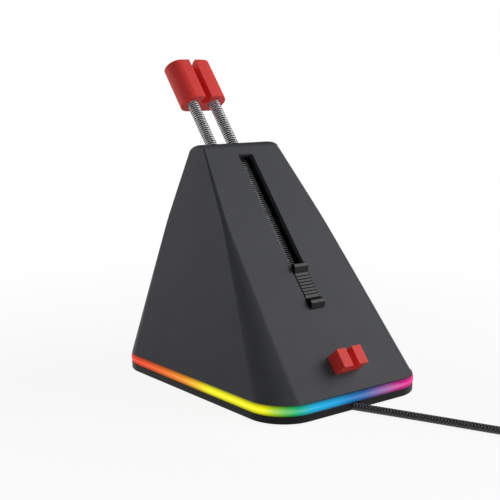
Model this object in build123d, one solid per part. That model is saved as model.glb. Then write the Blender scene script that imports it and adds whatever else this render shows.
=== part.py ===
from build123d import *
import os
from math import asin, atan2, cos, hypot, radians, sin, tan

# A mouse bungee in millimetres. The origin is on the desk under the middle of the base, +X is to the
# right seen from the sloping front, +Y is towards the back and +Z is up.

# Base footprint and levels
base_w = 90.0
base_d = 123.7
base_r = 17.6
pad_proud = 0.5
tray_h = 3.3
tray_floor = 2.3
tray_edge = 0.4
ring_h = 4.7
ring_wall = 3.0
ring_bulge = 0.25
ring_edge = 0.2
ring_bevel = 1.4
lip_h = 1.2
lip_wall = 1.2

# Housing: a wedge whose corner rounding tightens from the foot to the ridge
housing_h = 101.9
foot_inset_side = 0.3
foot_inset_end = 0.93
foot_r = 16.2
ridge_w = 43.8
ridge_y = 20.96
ridge_d = 9.34
ridge_front_r = 5.0
ridge_rear_r = 8.0
ridge_side_r = 3.0
corner_share = 0.77
upper_corner_r = 6.7
upper_corner_share = 1.154
corner_skin = 0.15
wall = 2.4

# Slot and slider on the front slope, measured down the slope from the ridge
slot_w = 8.6
slot_top = 6.3
neck_w = 7.8
neck_top = 68.0
neck_len = 20.8
slider_overhang = 1.1
rib_count = 8
rib_gap = 0.7
rib_depth = 0.5
rib_surface = 0.65
hump_w = 8.0
hump_len_upper = 4.3
hump_len_lower = 5.4
hump_h = 3.0
hump_r = 1.9

# Carriage behind the slot, its rails and the leaves that hold it at its height
carriage_len = 24.0
flange_w = 26.0
flange_t = 3.0
block_w = 21.2
block_depth = 10.4
rail_web = 2.0
rail_lip = 1.6
rail_top = 5.0
rail_run_out = 8.0
leaf_len = 16.0
leaf_w = 4.0
leaf_t = 0.3
leaf_bow = 1.1
leaf_pocket = 1.4
leaf_x = 8.6

# Springs and the clip that they carry
spring_od = 5.6
spring_wire = 0.95
spring_pitch_x = 12.9
spring_depth = 12.0
spring_reach = 32.7
spring_seat = 14.0
spring_hole = 6.6
clip_r = 6.2
clip_len = 22.9
clip_mouth = 3.3
clip_channel = 4.2
clip_channel_depth = 4.0
clip_seat = 9.6

# Lower clip on the slope
low_clip_top = 113.0
low_clip_len = 8.7
low_clip_w = 14.0
low_clip_h = 7.5
low_clip_slot_w = 3.6
low_clip_slot_d = 4.3
low_clip_edge_r = 0.6
low_clip_tongue_w = 2.4
low_clip_tongue_x = 4.4

# Inside the base
pad_inset_side = 13.0
pad_inset_end = 19.85
pad_r = 10.0
pad_t = 1.4
ballast_inset = 20.0
ballast_t = 3.2
ballast_r = 3.0
peg_w = 3.0
peg_inset = 7.0
peg_proud = 0.4
standoff_w = 5.6
standoff_inset_side = 4.0
standoff_inset_end = 5.0
board_inset_side = 14.0
board_inset_end = 12.85
board_t = 1.6
board_r = 4.0
board_gap = 0.8
lamp_size = 5.0
lamp_t = 1.6
lamp_side_count = 5
lamp_end_count = 3
lamp_edge = 0.3
chip_size = 7.0
chip_t = 1.0
chip_y = 12.0

# Screws: the shank's diameter and the head's diameter and height
tray_screw_inset_side = 9.5
tray_screw_inset_end = 14.35
tray_screw_d = 2.6
tray_screw_head_d = 5.0
tray_screw_head_h = 1.1
tray_screw_len = 10.0
tray_pilot_spare = 1.0
boss_w = 6.4
boss_top = 30.0
small_screw_d = 2.0
small_screw_head_d = 3.8
small_screw_head_h = 1.6
slider_screw_bite = 2.0
clip_screw_bite = 2.2

# Lead, its way out of the base and its plug
cable_d = 3.3
cable_lift = 0.05
cable_bend_share = 0.45
exit_inset = 0.55
gland_in = 10.0
gland_len = 7.0
gland_w = 7.0
gland_top = 4.7
header_gap = 4.0
header_len = 6.0
header_w = 7.0
header_h = 3.4
inner_lead_d = 1.6
plug_w = 15.6
plug_t = 7.8
plug_len = 22.0
plug_relief_len = 7.0
plug_relief_d = 5.4
plug_edge = 1.6
shell_w = 12.0
shell_t = 4.5
shell_len = 12.0
shell_wall = 0.35
shell_window = 2.2
shell_window_x = 2.6
shell_window_y = 5.4
plug_tongue_t = 1.8
plug_tongue_inset = 0.8

# Put-away coil of the lead: two flat layers of turns held by a tie
coil_mean_r = 19.8
coil_columns = 6
coil_layers = 2
coil_x = 61.7
coil_ahead = 72.95
tie_t = 0.6
tie_arc = 24.0
tie_at = 280.0

# Clearances
slide_gap = 0.4
seat_gap = 0.15
fit_gap = 0.1
ring_gap = 0.2
leaf_gap = 0.2
ballast_gap = 0.3
lamp_gap = 1.7
hump_gap = 0.3
thread_gap = 0.05

# Levels and places that follow from the sizes above
tray_z = pad_proud
floor_z = tray_z + tray_floor
tray_top = tray_z + tray_h
seam_z = tray_top + ring_h
ridge_z = seam_z + housing_h
foot_half_w = base_w / 2 - foot_inset_side
foot_half_d = base_d / 2 - foot_inset_end
pad_w = base_w - 2 * pad_inset_side
pad_d = base_d - 2 * pad_inset_end
board_w = base_w - 2 * board_inset_side
board_d = base_d - 2 * board_inset_end
standoff_x = board_w / 2 - standoff_inset_side
standoff_y = board_d / 2 - standoff_inset_end
lamp_clear = standoff_w / 2 + lamp_size / 2 + lamp_gap
lamp_side_step = 2 * (standoff_y - lamp_clear) / (lamp_side_count - 1)
lamp_end_step = 2 * (standoff_x - lamp_clear) / (lamp_end_count - 1)
tray_screw_x = base_w / 2 - tray_screw_inset_side
tray_screw_y = base_d / 2 - tray_screw_inset_end
base_front = -base_d / 2
exit_y = base_front + exit_inset
coil_y = base_front - coil_ahead
header_end = gland_in + gland_len + header_gap + header_len
ballast_w = base_w - 2 * ballast_inset
ballast_d = -2 * (exit_y + header_end + ballast_gap)
peg_x = ballast_w / 2 - peg_inset
peg_y = ballast_d / 2 - peg_inset
ballast_top = floor_z + ballast_t
board_z = ballast_top + board_gap
stake_top = board_z + board_t + peg_proud
slope_run = ridge_y + foot_half_d
slope_len = hypot(slope_run, housing_h)
up_slope = Vector(0, slope_run / slope_len, housing_h / slope_len)
outward = Vector(0, -housing_h / slope_len, slope_run / slope_len)
slope = Plane(origin=(0, ridge_y, ridge_z), x_dir=(1, 0, 0), z_dir=outward)
side_lean = atan2(foot_half_w - ridge_w / 2, housing_h)
rear_lean = atan2(foot_half_d - ridge_y - ridge_d, housing_h)
slot_bottom = neck_top + neck_len + slide_gap
low_clip_middle = low_clip_top + low_clip_len / 2
slider_top = neck_top - slider_overhang
slider_len = neck_len + 2 * slider_overhang
carriage_depth = wall + slide_gap
carriage_top = neck_top + neck_len / 2 - carriage_len / 2
carriage_bottom = carriage_top + carriage_len
carriage_middle = carriage_top + carriage_len / 2
block_top = carriage_depth + flange_t
block_back = block_top + block_depth
head_hole = small_screw_head_d / 2 + fit_gap
screw_sink = block_back - small_screw_head_h - slide_gap
spring_id = spring_od - 2 * spring_wire
spring_xs = (-spring_pitch_x / 2, spring_pitch_x / 2)
cable_z = cable_d / 2 + cable_lift

# The lead's route along the desk, chosen by hand, from inside the gland to the coil
lead_route = [
    (-6.4, base_front + 12.35, cable_z),
    (2.7, base_front - 7.65, cable_z),
    (14.6, base_front - 35.25, cable_z),
    (26.7, base_front - 64.65, cable_z),
    (36.9, base_front - 86.15, tie_t + fit_gap + cable_d / 2),
]
# The tail's straight run from the coil's top layer down to the plug, seen from the coil's middle
tail_route = [
    (29.5, 0.0, 5.7),
    (29.5, 14.0, plug_t / 2 + cable_lift),
]


def on_slope(x, down, depth=0.0):
    """Place on the front slope: across, down from the ridge, and into the housing."""
    return slope.location * Pos(x, -down, -depth)


def along_slope(profile, top, bottom):
    """Extrude a profile drawn as (across, depth) between two distances down the slope."""
    start = Plane(origin=on_slope(0, bottom).position, x_dir=(1, 0, 0), z_dir=up_slope)
    return extrude(start * profile, bottom - top)


def post(radius, z_low, z_high):
    """Upright cylinder between two heights."""
    return Pos(0, 0, z_low) * Cylinder(radius, z_high - z_low, align=(Align.CENTER, Align.CENTER, Align.MIN))


def block(low, high):
    """Box between two corners."""
    size = [b - a for a, b in zip(low, high)]
    return Pos(*low) * Box(*size, align=Align.MIN)


def pillar(width, z_low, z_high):
    """Square post between two heights."""
    return block((-width / 2, -width / 2, z_low), (width / 2, width / 2, z_high))


def corners(x, y):
    """Four places, one in each quarter of the base."""
    return [Pos(side * x, end * y, 0) for side in (-1, 1) for end in (-1, 1)]


def screw(shank_d, head_d, head_h, length):
    """Screw with its head's underside at the origin and its shank pointing up."""
    head = post(head_d / 2, -head_h, 0)
    return head + post(shank_d / 2, 0, length)


def base_outline(inset):
    """Outline of the base, moved in by inset."""
    return RectangleRounded(base_w - 2 * inset, base_d - 2 * inset, base_r - inset)


def half_width(z):
    """Half of the housing's width at a height, to the flat side walls."""
    return foot_half_w - (z - seam_z) * tan(side_lean)


def front_y(z):
    """Where the front slope is at a height."""
    return (z - seam_z) * slope_run / housing_h - foot_half_d


def rear_y(z):
    """Where the rear wall is at a height."""
    return foot_half_d - (z - seam_z) * tan(rear_lean)


def wedge(inset, low, high):
    """Sharp-edged wedge between two heights, with each wall moved in by inset."""
    front = inset * slope_len / housing_h
    rear = inset / cos(rear_lean)
    across = inset / cos(side_lean)
    side = Polyline(
        (front_y(low) + front, low),
        (front_y(high) + front, high),
        (rear_y(high) - rear, high),
        (rear_y(low) - rear, low),
        close=True,
    )
    face = Polyline(
        (across - half_width(low), low),
        (across - half_width(high), high),
        (half_width(high) - across, high),
        (half_width(low) - across, low),
        close=True,
    )
    return make_face(side), make_face(face)


def crossed(side, face):
    """Solid where a side profile and a front profile cross."""
    return extrude(Plane.YZ * side, base_w, both=True) & extrude(Plane.XZ * face, base_d, both=True)


def corner_cutter(side, end, inset, foot_radius, share):
    """What a cone that runs out at a share of the height leaves of one sloping corner."""
    side_normal = Vector(side * cos(side_lean), 0, sin(side_lean))
    end_normal = outward if end < 0 else Vector(0, cos(rear_lean), sin(rear_lean))
    end_y = front_y if end < 0 else rear_y
    end_inset = inset * slope_len / housing_h if end < 0 else inset / cos(rear_lean)
    foot, tip = [
        Vector(side * (half_width(z) - inset / cos(side_lean)), end_y(z) - end * end_inset, z)
        for z in (seam_z, ridge_z)
    ]
    edge = (tip - foot).normalized()
    apex = foot + (tip - foot) * share
    inward = (side_normal + end_normal).normalized() * -1
    spread = -inward.dot(end_normal)
    lean = atan2(foot_radius * edge.Z, (apex.Z - foot.Z) * spread + foot_radius * inward.Z)
    axis = inward * sin(lean) - edge * cos(lean)
    half_angle = asin(spread * sin(lean)) + radians(corner_skin)
    touch = [(axis - n * axis.dot(n)).normalized() for n in (side_normal, end_normal)]
    middle = (touch[0] + touch[1]).normalized()
    away = middle.cross(touch[0] - touch[1]).normalized()
    if away.dot(inward) > 0:
        away = away * -1
    reach = 2 * housing_h
    corner = block((0, -reach, 0), (reach, reach, reach))
    cone = Cone(0, reach * tan(half_angle), reach, align=(Align.CENTER, Align.CENTER, Align.MIN))
    # The cone's own seam is turned into the housing, clear of the cut
    return Plane(apex, x_dir=middle, z_dir=away) * corner - Plane(apex, x_dir=-away, z_dir=axis) * cone


def housing_outside():
    """Outer form: crossed profiles with a rounded ridge, and corners that tighten upwards."""
    side, face = wedge(0, seam_z, ridge_z)
    side = fillet(side.vertices().sort_by_distance((ridge_y, ridge_z))[:1], ridge_front_r)
    side = fillet(side.vertices().sort_by_distance((ridge_y + ridge_d, ridge_z))[:1], ridge_rear_r)
    face = fillet(face.vertices().sort_by(Axis.Y)[-2:], ridge_side_r)
    form = crossed(side, face)
    for left_right in (-1, 1):
        for end in (-1, 1):
            form -= corner_cutter(left_right, end, 0, foot_r, corner_share)
            form -= corner_cutter(left_right, end, 0, upper_corner_r, upper_corner_share)
    return form


def housing_inside():
    """Cavity one wall inside the outer form, open at the foot."""
    side, face = wedge(wall, seam_z - wall, ridge_z - wall)
    form = crossed(side, face)
    for left_right in (-1, 1):
        for end in (-1, 1):
            form -= corner_cutter(left_right, end, wall, foot_r - wall, corner_share)
    return form


def make_housing():
    """Moulded wedge with its slot, carriage rails, screw bosses and spring holes."""
    outside = housing_outside()
    rail_in = flange_w / 2 + slide_gap
    rail_out = rail_in + rail_web
    lip_depth = carriage_depth + flange_t + slide_gap
    lip_in = block_w / 2 + 2 * slide_gap
    body = outside - housing_inside()
    for side in (-1, 1):
        web = Pos(side * (rail_in + rail_web / 2), (wall / 2 + lip_depth) / 2)
        web *= Rectangle(rail_web, lip_depth - wall / 2)
        lip = Pos(side * (lip_in + rail_out) / 2, lip_depth + rail_lip / 2)
        lip *= Rectangle(rail_out - lip_in, rail_lip)
        body += along_slope(web + lip, rail_top, carriage_bottom + rail_run_out)
    for place in corners(tray_screw_x, tray_screw_y):
        body += place * pillar(boss_w, seam_z, boss_top) & outside
        body += place * pillar(boss_w, floor_z + fit_gap, seam_z)
    pilot_top = tray_z + tray_screw_head_h + tray_screw_len + tray_pilot_spare
    body -= [
        place * post(tray_screw_d / 2 + thread_gap, floor_z, pilot_top)
        for place in corners(tray_screw_x, tray_screw_y)
    ]
    slot = Pos(0, wall / 2) * Rectangle(slot_w, 2 * wall)
    body -= along_slope(slot, slot_top, slot_bottom)
    for x in spring_xs:
        body -= along_slope(Pos(x, spring_depth) * Circle(spring_hole / 2), -spring_depth, slot_top)
    for x in (-low_clip_tongue_x, low_clip_tongue_x):
        body -= on_slope(x, low_clip_middle) * pillar(low_clip_tongue_w + 2 * fit_gap, -2 * wall, wall)
    return body - on_slope(0, low_clip_middle) * post(small_screw_d / 2 + fit_gap, -2 * wall, wall)


def make_light_ring():
    """Diffuser strip with a bevelled outside, swept round the base."""
    inner = ring_wall - ring_bulge
    section = Polyline(
        (ring_edge, 0),
        (-ring_bulge, ring_bevel),
        (-ring_bulge, ring_h - ring_bevel),
        (ring_edge, ring_h),
        (inner, ring_h),
        (inner, 0),
        close=True,
    )
    path = Pos(0, 0, tray_top) * base_outline(0).face().outer_wire()
    inwards = Vector(0, 0, 1).cross(path % 0)
    start = Plane(origin=path @ 0, x_dir=inwards, z_dir=path % 0)
    return sweep(start * make_face(section), path=path)


def cable_frame(along, across=0.0, z=0.0):
    """Place on the lead's straight way out of the base, measured outwards from the exit."""
    first, second = Vector(*lead_route[0]), Vector(*lead_route[1])
    heading = Vector(second.X - first.X, second.Y - first.Y, 0)
    exit_x = first.X + (exit_y - first.Y) * heading.X / heading.Y
    plane = Plane(origin=(exit_x, exit_y, 0), x_dir=heading, z_dir=(0, 0, 1))
    return plane.location * Pos(along, across, z)


def make_tray():
    """Tray with a lip for the ring, board standoffs, ballast pegs and the lead's channel."""
    tray = extrude(Pos(0, 0, tray_z) * base_outline(0), tray_h)
    tray = chamfer(tray.edges().group_by(Axis.Z)[0], tray_edge)
    lip_out = ring_wall - ring_bulge + ring_gap
    tray += extrude(Pos(0, 0, tray_top) * base_outline(lip_out), lip_h)
    tray -= extrude(Pos(0, 0, floor_z) * base_outline(lip_out + lip_wall), tray_h + lip_h)
    tray += [p * pillar(standoff_w, floor_z, board_z) for p in corners(standoff_x, standoff_y)]
    tray += [p * pillar(peg_w, floor_z, stake_top) for p in corners(standoff_x, standoff_y)]
    tray += [p * pillar(peg_w, floor_z, ballast_top + peg_proud) for p in corners(peg_x, peg_y)]
    channel_w = cable_d + 2 * hump_gap
    gland_out = gland_in - fit_gap
    cover = cable_frame(0) * block((-gland_out - gland_len, -gland_w, floor_z), (0, gland_w, gland_top))
    tray += cover & extrude(base_outline(lip_out + lip_wall / 2), seam_z)
    tray -= cable_frame(0) * block((-gland_in, -channel_w / 2, 0), (tray_h, channel_w / 2, tray_top))
    hole_end = header_end - header_len
    hole_half = gland_w / 2 + fit_gap
    tray -= cable_frame(0) * block((-hole_end, -hole_half, 0), (-gland_out, hole_half, 2 * gland_top))
    recess = RectangleRounded(pad_w + 2 * fit_gap, pad_d + 2 * fit_gap, pad_r + fit_gap)
    tray -= extrude(Pos(0, 0, tray_z) * recess, pad_t - pad_proud)
    sink = tray_z + tray_screw_head_h + fit_gap
    for place in corners(tray_screw_x, tray_screw_y):
        tray -= place * post(tray_screw_d / 2 + fit_gap, 0, tray_top)
        tray -= place * post(tray_screw_head_d / 2 + fit_gap, 0, sink)
    return tray


def make_ballast():
    """Steel plate over the tray's pegs."""
    plate = extrude(Pos(0, 0, floor_z) * RectangleRounded(ballast_w, ballast_d, ballast_r), ballast_t)
    return plate - [p * pillar(peg_w + 2 * fit_gap, floor_z, board_z) for p in corners(peg_x, peg_y)]


def make_board():
    """Lamp board on the tray's standoffs."""
    board = extrude(Pos(0, 0, board_z) * RectangleRounded(board_w, board_d, board_r), board_t)
    hole = pillar(peg_w + 2 * fit_gap, board_z, seam_z)
    return board - [p * hole for p in corners(standoff_x, standoff_y)]


def make_lamps():
    """Square lamps under the board's edge, facing the ring."""
    edge_x = board_w / 2 - lamp_edge - lamp_size / 2
    edge_y = board_d / 2 - lamp_edge - lamp_size / 2
    side_ys = [lamp_side_step * (i - (lamp_side_count - 1) / 2) for i in range(lamp_side_count)]
    end_xs = [lamp_end_step * (i - (lamp_end_count - 1) / 2) for i in range(lamp_end_count)]
    places = [(side * edge_x, y) for side in (-1, 1) for y in side_ys]
    places += [(x, end * edge_y) for x in end_xs for end in (-1, 1)]
    lamp = Box(lamp_size, lamp_size, lamp_t)
    return Compound([Pos(x, y, board_z - lamp_t / 2) * lamp for x, y in places])


def make_slider():
    """Thumb piece: ribbed plate on a neck through the slot, with a rounded hump at each end."""
    neck = Pos(0, (carriage_depth - rib_surface) / 2) * Rectangle(neck_w, carriage_depth + rib_surface)
    slider = along_slope(neck, neck_top, neck_top + neck_len)
    humps = [
        (slider_top, slider_top + hump_len_upper),
        (slider_top + slider_len - hump_len_lower, slider_top + slider_len),
    ]
    for top, bottom in humps:
        hump = on_slope(0, bottom) * block((-hump_w / 2, 0, hump_gap), (hump_w / 2, bottom - top, hump_h))
        crest = hump.edges().filter_by(Axis.X).sort_by(Axis((0, 0, 0), outward))
        slider += fillet(crest[-2:], hump_r)
    ribs_top = slider_top + hump_len_upper
    ribs_len = slider_len - hump_len_upper - hump_len_lower
    pitch = ribs_len / rib_count
    groove = Pos(0, -rib_surface) * Rectangle(hump_w, 2 * rib_depth)
    for i in range(1, rib_count):
        middle = ribs_top + pitch * i
        slider -= along_slope(groove, middle - rib_gap / 2, middle + rib_gap / 2)
    bite = post(small_screw_d / 2 + thread_gap, 0, slider_screw_bite)
    return slider - on_slope(0, carriage_middle, carriage_depth) * bite


def make_carriage():
    """Runner in the rails with a socket and a peg for each spring."""
    flange = Pos(0, carriage_depth + flange_t / 2) * Rectangle(flange_w, flange_t)
    middle = Pos(0, block_top + block_depth / 2) * Rectangle(block_w, block_depth)
    body = along_slope(flange + middle, carriage_top, carriage_bottom)
    seat_bottom = carriage_top + spring_seat
    for x in spring_xs:
        socket = Circle(spring_od / 2 + seat_gap) - Circle(spring_id / 2 - seat_gap)
        body -= along_slope(Pos(x, spring_depth) * socket, carriage_top, seat_bottom + seat_gap)
    pocket_len = leaf_len + 4 * slide_gap
    pocket = Rectangle(leaf_w + 2 * slide_gap, 2 * leaf_pocket)
    for side in (-1, 1):
        here = Pos(side * leaf_x, carriage_depth) * pocket
        body -= along_slope(here, carriage_middle - pocket_len / 2, carriage_middle + pocket_len / 2)
    body -= on_slope(0, carriage_middle, block_back) * post(small_screw_d / 2 + fit_gap, 0, block_back)
    return body - on_slope(0, carriage_middle, block_back) * post(head_hole, 0, block_back - screw_sink)


def make_slider_screw():
    """Screw from behind the carriage into the slider's neck."""
    length = screw_sink - carriage_depth + slider_screw_bite - thread_gap
    one = screw(small_screw_d, small_screw_head_d, small_screw_head_h, length)
    return on_slope(0, carriage_middle, screw_sink) * one


def make_leaves():
    """Two bowed strips between the carriage and the front wall."""
    crown = -wall - leaf_gap
    ends = crown - leaf_bow
    half = leaf_len / 2
    outer = ThreePointArc((-half, ends), (0, crown), (half, ends))
    inner = ThreePointArc((half, ends - leaf_t), (0, crown - leaf_t), (-half, ends - leaf_t))
    outline = [outer, Line(outer @ 1, inner @ 0), inner, Line(inner @ 1, outer @ 0)]
    leaves = []
    for side in (-1, 1):
        place = Plane(
            origin=on_slope(side * leaf_x, carriage_middle).position,
            x_dir=up_slope,
            z_dir=(1, 0, 0),
        )
        leaves.append(extrude(place * make_face(outline), leaf_w / 2, both=True))
    return Compound(leaves)


def make_spring(x):
    """One close-wound spring as the tube that its coils fill."""
    ring = Circle(spring_od / 2) - Circle(spring_id / 2)
    top = -spring_reach - clip_seat
    return along_slope(Pos(x, spring_depth) * ring, top + seat_gap, carriage_top + spring_seat)


def make_upper_clip():
    """Clip on the springs: stadium block with spring sockets and a keyhole slot for the cable."""
    top = -spring_reach - clip_len
    outline = SlotOverall(spring_pitch_x + 2 * clip_r, 2 * clip_r)
    clip = along_slope(Pos(0, spring_depth) * outline, top, -spring_reach)
    front = spring_depth - clip_r
    channel_depth = front + clip_channel_depth
    mouth = Pos(0, channel_depth - clip_channel_depth) * Rectangle(clip_mouth, 2 * clip_channel_depth)
    keyhole = mouth + Pos(0, channel_depth) * Circle(clip_channel / 2)
    clip -= along_slope(keyhole, top, -spring_reach)
    for x in spring_xs:
        socket = Pos(x, spring_depth) * Circle(spring_od / 2 + seat_gap)
        clip -= along_slope(socket, -spring_reach - clip_seat, -spring_reach)
    return clip


def make_lower_clip():
    """Slotted block on the slope, located by two tongues and held by a screw."""
    place = on_slope(0, low_clip_top + low_clip_len)
    clip = place * block((-low_clip_w / 2, 0, 0), (low_clip_w / 2, low_clip_len, low_clip_h))
    upright = clip.edges().filter_by(Axis((0, 0, 0), outward))
    clip = fillet(upright, low_clip_edge_r)
    slot_low = low_clip_h - low_clip_slot_d
    half = low_clip_slot_w / 2
    clip -= place * block((-half, -low_clip_len, slot_low), (half, 2 * low_clip_len, 2 * low_clip_h))
    for x in (-low_clip_tongue_x, low_clip_tongue_x):
        clip += on_slope(x, low_clip_middle) * pillar(low_clip_tongue_w, fit_gap - wall, wall)
    return clip - on_slope(0, low_clip_middle) * post(small_screw_d / 2 + thread_gap, 0, clip_screw_bite)


def make_lower_clip_screw():
    """Screw from inside the front wall into the lower clip."""
    length = wall + clip_screw_bite - thread_gap
    one = screw(small_screw_d, small_screw_head_d, small_screw_head_h, length)
    return on_slope(0, low_clip_middle, wall) * one


def make_gland():
    """Rubber block that grips the end of the lead's jacket."""
    grip = block((-gland_in - gland_len, -gland_w / 2, tray_z), (-gland_in, gland_w / 2, gland_top - fit_gap))
    bore = Rot(0, 90, 0) * Cylinder(cable_d / 2 + fit_gap, gland_len)
    return cable_frame(0) * (grip - Pos(-gland_in, 0, cable_z) * bore)


def make_header():
    """Socket under the board for the lead's wires."""
    near = header_end - header_len
    low = board_z - header_h
    return cable_frame(0) * block((-header_end, -header_w / 2, low), (-near, header_w / 2, board_z))


def make_inner_lead():
    """The lead's wires, from the gland to the header."""
    z = gland_top - fit_gap - inner_lead_d / 2 - fit_gap
    wires = Rot(0, 90, 0) * Cylinder(inner_lead_d / 2, header_gap)
    return cable_frame(-gland_in - gland_len - header_gap / 2, 0, z) * wires


def cord_radii(points):
    """Bend radius at each inner point, as large as its two runs allow."""
    radii = []
    for before, here, after in zip(points, points[1:], points[2:]):
        run_in = Vector(*here) - Vector(*before)
        run_out = Vector(*after) - Vector(*here)
        half_turn = radians(run_in.get_angle(run_out)) / 2
        radii.append(cable_bend_share * min(run_in.length, run_out.length) / tan(half_turn))
    return radii


def cord_tube(points):
    """Round cord along a route of straight runs and tangent arcs."""
    radii = cord_radii(points)
    path = FilletPolyline(*points, radius=radii)
    start = Plane(origin=path @ 0, z_dir=path % 0)
    tube = sweep(start * Circle(cable_d / 2), path=path)
    print("cord length", round(path.length, 1), "bend radii", [round(r, 1) for r in radii])
    return tube


def coil_profile(grow):
    """Section of the put-away coil, grown on each side."""
    width = coil_columns * cable_d
    height = coil_layers * cable_d
    middle_z = tie_t + fit_gap + height / 2
    return Plane.XZ * Pos(coil_mean_r, middle_z) * Rectangle(width + 2 * grow, height + 2 * grow)


def make_coil():
    """Outer shape of the put-away coil."""
    return Pos(coil_x, coil_y, 0) * revolve(coil_profile(0), Axis.Z)


def make_tie():
    """Strap round the coil's turns."""
    band = coil_profile(fit_gap + tie_t) - coil_profile(fit_gap)
    return Pos(coil_x, coil_y, 0) * Rot(0, 0, tie_at) * revolve(band, Axis.Z, tie_arc)


def tail_points():
    """The tail's route in the part's own frame."""
    return [(coil_x + x, coil_y + y, z) for x, y, z in tail_route]


def make_tail():
    """The lead's last run, from the coil to the plug."""
    start, end = [Vector(*point) for point in tail_points()]
    return extrude(Plane(origin=start, z_dir=end - start) * Circle(cable_d / 2), (end - start).length)


def plug_frame(along):
    """Place on the axis of the plug, which lies level, measured from the end of the lead."""
    start, end = [Vector(*point) for point in tail_points()]
    heading = Vector(end.X - start.X, end.Y - start.Y, 0)
    plane = Plane(origin=end, x_dir=heading, z_dir=(0, 0, 1))
    return plane.location * Pos(along, 0, 0) * Rot(0, 90, 0)


def make_plug_body():
    """Moulded grip with a relief for the lead."""
    relief = Cylinder(plug_relief_d / 2, plug_relief_len)
    grip = extrude(Rectangle(plug_t, plug_w), plug_len)
    grip = chamfer(grip.edges().filter_by(Axis.Z), plug_edge)
    return plug_frame(plug_relief_len / 2) * relief + plug_frame(plug_relief_len) * grip


def make_plug_shell():
    """Folded metal shell with two latch windows in each broad side."""
    shell = extrude(Rectangle(shell_t, shell_w), shell_len)
    inside = Rectangle(shell_t - 2 * shell_wall, shell_w - 2 * shell_wall)
    shell -= extrude(inside, shell_len)
    for x in (-shell_window_x, shell_window_x):
        shell -= Pos(0, x, shell_window_y) * Box(2 * shell_t, shell_window, shell_window)
    return plug_frame(plug_relief_len + plug_len) * shell


def make_plug_tongue():
    """Insulator inside the shell that carries the contacts."""
    tongue = Rectangle(plug_tongue_t, shell_w - 2 * shell_wall - 2 * fit_gap)
    raised = Pos(-shell_t / 2 + shell_wall + fit_gap + plug_tongue_t / 2, 0) * tongue
    return plug_frame(plug_relief_len + plug_len) * extrude(raised, shell_len - plug_tongue_inset)


def make_tray_screws():
    """Four screws from under the tray into the housing's bosses."""
    one = screw(tray_screw_d, tray_screw_head_d, tray_screw_head_h, tray_screw_len)
    under_head = tray_z + tray_screw_head_h + fit_gap
    return Compound([p * Pos(0, 0, under_head) * one for p in corners(tray_screw_x, tray_screw_y)])


parts = {
    "housing": make_housing(),
    "light_ring": make_light_ring(),
    "base_tray": make_tray(),
    "rubber_pad": extrude(RectangleRounded(pad_w, pad_d, pad_r), pad_t),
    "ballast_plate": make_ballast(),
    "lamp_board": make_board(),
    "board_lamps": make_lamps(),
    "controller_chip": Pos(0, chip_y, board_z + board_t + chip_t / 2) * Box(chip_size, chip_size, chip_t),
    "cable_header": make_header(),
    "tray_screws": make_tray_screws(),
    "lower_clip": make_lower_clip(),
    "lower_clip_screw": make_lower_clip_screw(),
    "cable_gland": make_gland(),
    "inner_lead": make_inner_lead(),
    "usb_lead": cord_tube(lead_route),
    "lead_coil": make_coil(),
    "coil_tie": make_tie(),
    "lead_tail": make_tail(),
    "plug_body": make_plug_body(),
    "plug_shell": make_plug_shell(),
    "plug_tongue": make_plug_tongue(),
    "carriage": make_carriage(),
    "slider": make_slider(),
    "slider_screw": make_slider_screw(),
    "slide_leaves": make_leaves(),
    "left_spring": make_spring(spring_xs[0]),
    "right_spring": make_spring(spring_xs[1]),
    "upper_clip": make_upper_clip(),
}

os.makedirs("parts", exist_ok=True)
for name, part in parts.items():
    export_step(part, f"parts/{name}.step")
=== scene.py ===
"""Looks of a mouse bungee: a lit wedge with a slider, two springs, two red clips and a woven lead."""

import logging
import math
from abc import ABC, abstractmethod
from collections.abc import Callable
from dataclasses import dataclass
from enum import Enum

import bmesh
import bpy
import numpy as np
from mathutils import Matrix, Vector


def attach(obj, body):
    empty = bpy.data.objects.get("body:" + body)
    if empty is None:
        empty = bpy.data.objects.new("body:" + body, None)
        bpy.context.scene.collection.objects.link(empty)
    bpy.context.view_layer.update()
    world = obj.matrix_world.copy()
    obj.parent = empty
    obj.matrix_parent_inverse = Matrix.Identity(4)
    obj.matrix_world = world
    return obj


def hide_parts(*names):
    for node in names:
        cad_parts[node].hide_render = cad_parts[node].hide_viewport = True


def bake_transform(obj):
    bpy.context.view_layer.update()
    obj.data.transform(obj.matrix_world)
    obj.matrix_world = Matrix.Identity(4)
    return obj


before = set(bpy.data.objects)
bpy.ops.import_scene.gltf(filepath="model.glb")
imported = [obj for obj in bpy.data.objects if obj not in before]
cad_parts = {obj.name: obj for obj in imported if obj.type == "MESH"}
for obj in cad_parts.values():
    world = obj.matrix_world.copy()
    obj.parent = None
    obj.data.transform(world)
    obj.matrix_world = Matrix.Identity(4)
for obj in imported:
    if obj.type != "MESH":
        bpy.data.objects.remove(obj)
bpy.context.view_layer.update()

MM = 0.001
# Slack when places on the slider are compared, in millimetres
SLACK = 0.01
# Corners nearer than this, in metres, are one
WELD = 1e-6
# Faces that meet at less than this, in degrees, are one
FLAT = 0.5
# Edges sharper than this, in degrees, are rounded
SHARP = 30.0
# An angle in degrees that no edge is sharper than
NO_SHARP = 180.0
# Most noise values lie between these
NOISE = (0.3, 0.7)

Colour = tuple[float, float, float]
Point = tuple[float, float, float]
Pair = tuple[float, float]
Stops = tuple[tuple[float, Colour], ...]
Socket = bpy.types.NodeSocket
Piece = bpy.types.Object
Shape = bmesh.types.BMesh

logging.basicConfig(level=logging.INFO, format="%(message)s")
log = logging.getLogger("mouse_bungee")


class Body(Enum):
    """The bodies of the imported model."""

    BASE = "base"
    CARRIAGE = "carriage"
    CLIP = "arm_clip"


class Side(Enum):
    """The two sides of the arm, as the sign of x."""

    LEFT = -1
    RIGHT = 1


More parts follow.
